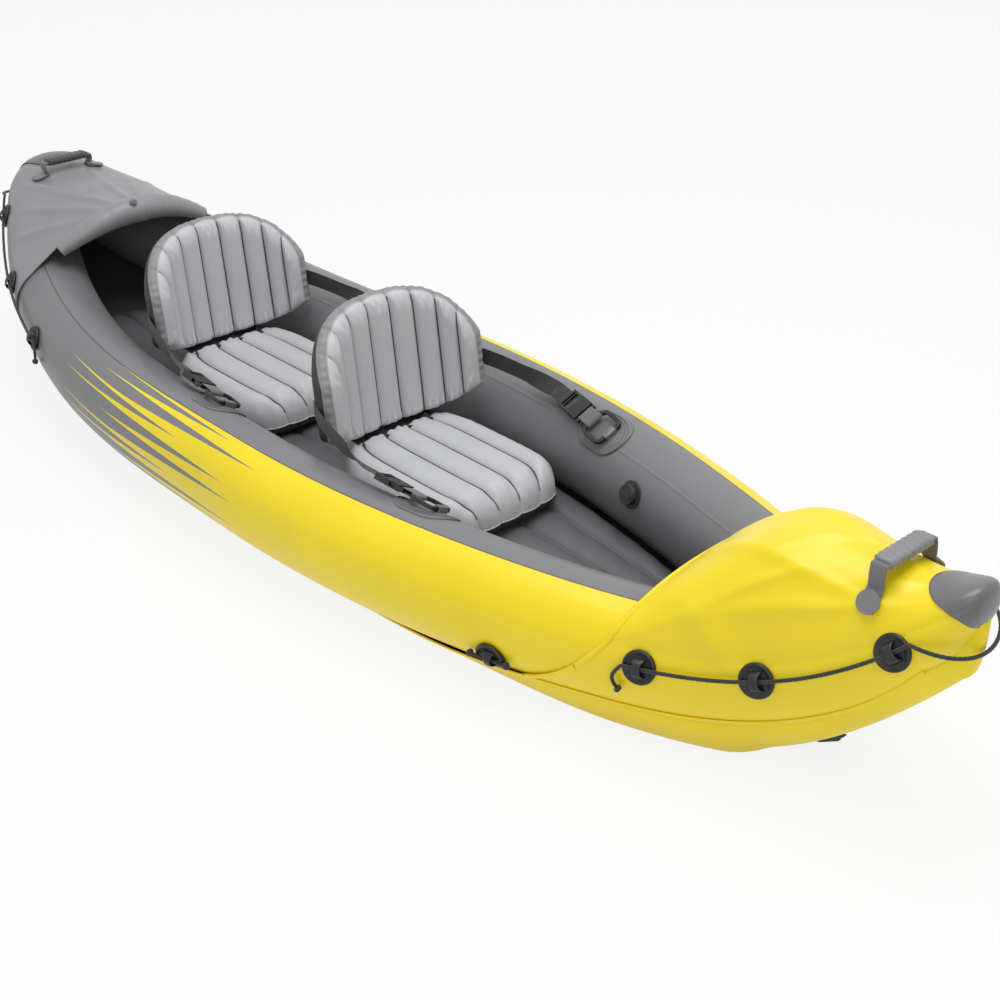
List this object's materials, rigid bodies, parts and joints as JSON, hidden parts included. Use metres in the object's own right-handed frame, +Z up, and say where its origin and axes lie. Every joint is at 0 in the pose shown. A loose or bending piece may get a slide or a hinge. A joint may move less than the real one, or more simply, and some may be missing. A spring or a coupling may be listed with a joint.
{
  "type": "tandem inflatable kayak",
  "caption": "Two-seat inflatable kayak: side chambers, inflatable floor, spray decks, backrest seats with buckled straps, valves, grab lines, carry handles and a slide-in skeg.",
  "frame": {"origin": "middle of the hull's box, on the ground under the flat bottom", "axes": "+X towards the bow, +Y to port, +Z up"},
  "size_m": [3.1846, 0.91, 0.5244],
  "materials": {
    "yellow_vinyl": "soft gloss vinyl",
    "dark_vinyl": "matte vinyl",
    "grey_vinyl": "matte vinyl",
    "seat_vinyl": "soft gloss vinyl",
    "rope": "braided cord",
    "black_webbing": "woven webbing",
    "grey_webbing": "woven webbing",
    "black_plastic": "satin moulded plastic",
    "grey_plastic": "satin moulded plastic",
    "valve_rubber": "soft rubber"
  },
  "bodies": {
    "hull": {"hull_bottom": "yellow_vinyl", "port_chamber": "yellow_vinyl", "starboard_chamber": "yellow_vinyl", "inflatable_floor": "dark_vinyl", "bow_deck": "yellow_vinyl", "bow_roll": "yellow_vinyl", "stern_deck": "dark_vinyl", "stern_visor": "dark_vinyl", "nose_patch": "grey_vinyl", "stern_patch": "grey_vinyl", "bow_grab_line": "rope", "stern_grab_line": "rope", "bow_eyelets": "black_plastic", "stern_eyelets": "black_plastic", "side_eyelets": "black_plastic", "side_lashings": "rope", "anchor_patches": "grey_vinyl", "anchor_rings": "grey_plastic", "anchor_webbing": "grey_webbing", "buckle_sockets": "black_plastic", "port_valve_body": "black_plastic", "starboard_valve_body": "black_plastic", "floor_valve_body": "black_plastic", "valve_flaps": "valve_rubber", "visor_valve_body": "black_plastic", "skeg_base": "black_plastic", "front_seat_pad": "seat_vinyl", "rear_seat_pad": "seat_vinyl", "seat_hinge_sleeves": "dark_vinyl", "front_port_strap": "black_webbing", "front_starboard_strap": "black_webbing", "rear_port_strap": "black_webbing", "rear_starboard_strap": "black_webbing", "bow_handle_webbing": "grey_webbing", "bow_handle_rivets": "grey_plastic", "stern_handle_webbing": "grey_webbing", "stern_handle_rivets": "grey_plastic"},
    "front_backrest": {"front_backrest": "seat_vinyl", "front_hinge_rod": "grey_plastic", "front_backrest_valve": "black_plastic"},
    "rear_backrest": {"rear_backrest": "seat_vinyl", "rear_hinge_rod": "grey_plastic", "rear_backrest_valve": "black_plastic"},
    "front_backrest_plug": {"front_backrest_plug": "black_plastic"},
    "rear_backrest_plug": {"rear_backrest_plug": "black_plastic"},
    "front_port_tongue": {"front_port_tongue": "black_plastic"},
    "front_starboard_tongue": {"front_starboard_tongue": "black_plastic"},
    "rear_port_tongue": {"rear_port_tongue": "black_plastic"},
    "rear_starboard_tongue": {"rear_starboard_tongue": "black_plastic"},
    "bow_handle_grip": {"bow_handle_grip": "grey_plastic"},
    "stern_handle_grip": {"stern_handle_grip": "grey_plastic"},
    "port_valve_cap": {"port_valve_cap": "black_plastic"},
    "starboard_valve_cap": {"starboard_valve_cap": "black_plastic"},
    "floor_valve_cap": {"floor_valve_cap": "black_plastic"},
    "visor_valve_plug": {"visor_valve_plug": "black_plastic"},
    "skeg": {"skeg": "black_plastic"}
  },
  "joints": [
    {"name": "front_backrest_hinge", "type": "hinge", "parent": "hull", "child": "front_backrest", "pos_m": [0.029, 0, 0.198], "axis": [0, 1, 0], "range_deg": [-15, 28], "deforming": ["front_port_strap", "front_starboard_strap"]},
    {"name": "front_backrest_plug_slide", "type": "slide", "parent": "front_backrest", "child": "front_backrest_plug", "axis": [-0.9945, 0, -0.1045], "range_m": [0, 0.012]},
    {"name": "front_port_buckle_slide", "type": "slide", "parent": "hull", "child": "front_port_tongue", "axis": [-0.9787, 0.1511, 0.1392], "range_m": [0, 0.028], "deforming": ["front_port_strap"]},
    {"name": "front_starboard_buckle_slide", "type": "slide", "parent": "hull", "child": "front_starboard_tongue", "axis": [-0.9787, -0.1511, 0.1392], "range_m": [0, 0.028], "deforming": ["front_starboard_strap"]},
    {"name": "rear_backrest_hinge", "type": "hinge", "parent": "hull", "child": "rear_backrest", "pos_m": [-0.671, 0, 0.19863], "axis": [0, 1, 0], "range_deg": [-15, 28], "deforming": ["rear_port_strap", "rear_starboard_strap"]},
    {"name": "rear_backrest_plug_slide", "type": "slide", "parent": "rear_backrest", "child": "rear_backrest_plug", "axis": [-0.9945, 0, -0.1045], "range_m": [0, 0.012]},
    {"name": "rear_port_buckle_slide", "type": "slide", "parent": "hull", "child": "rear_port_tongue", "axis": [-0.9902, -0.01, 0.1392], "range_m": [0, 0.028], "deforming": ["rear_port_strap"]},
    {"name": "rear_starboard_buckle_slide", "type": "slide", "parent": "hull", "child": "rear_starboard_tongue", "axis": [-0.9902, 0.01, 0.1392], "range_m": [0, 0.028], "deforming": ["rear_starboard_strap"]},
    {"name": "bow_handle_swing", "type": "hinge", "parent": "hull", "child": "bow_handle_grip", "pos_m": [1.42, 0, 0.4092], "axis": [0, 1, 0], "range_deg": [-20, 20], "deforming": ["bow_handle_webbing"]},
    {"name": "stern_handle_swing", "type": "hinge", "parent": "hull", "child": "stern_handle_grip", "pos_m": [-1.42, 0, 0.474], "axis": [0, 1, 0], "range_deg": [-20, 20], "deforming": ["stern_handle_webbing"]},
    {"name": "port_valve_cap_turn", "type": "hinge", "parent": "hull", "child": "port_valve_cap", "pos_m": [0.645, 0.1702, 0.1933], "axis": [-0.1901, -0.9319, 0.309], "range_deg": [0, 270]},
    {"name": "starboard_valve_cap_turn", "type": "hinge", "parent": "hull", "child": "starboard_valve_cap", "pos_m": [0.645, -0.1702, 0.1933], "axis": [-0.1901, 0.9319, 0.309], "range_deg": [0, 270]},
    {"name": "floor_valve_cap_turn", "type": "hinge", "parent": "hull", "child": "floor_valve_cap", "pos_m": [-0.88, 0, 0.11933], "axis": [0.1049, 0, 0.9945], "range_deg": [0, 270]},
    {"name": "visor_plug_slide", "type": "slide", "parent": "hull", "child": "visor_valve_plug", "axis": [0.6157, 0, 0.788], "range_m": [0, 0.012]},
    {"name": "skeg_slide", "type": "slide", "parent": "hull", "child": "skeg", "axis": [0.8455, 0, 0.5339], "range_m": [0, 0.06]}
  ]
}
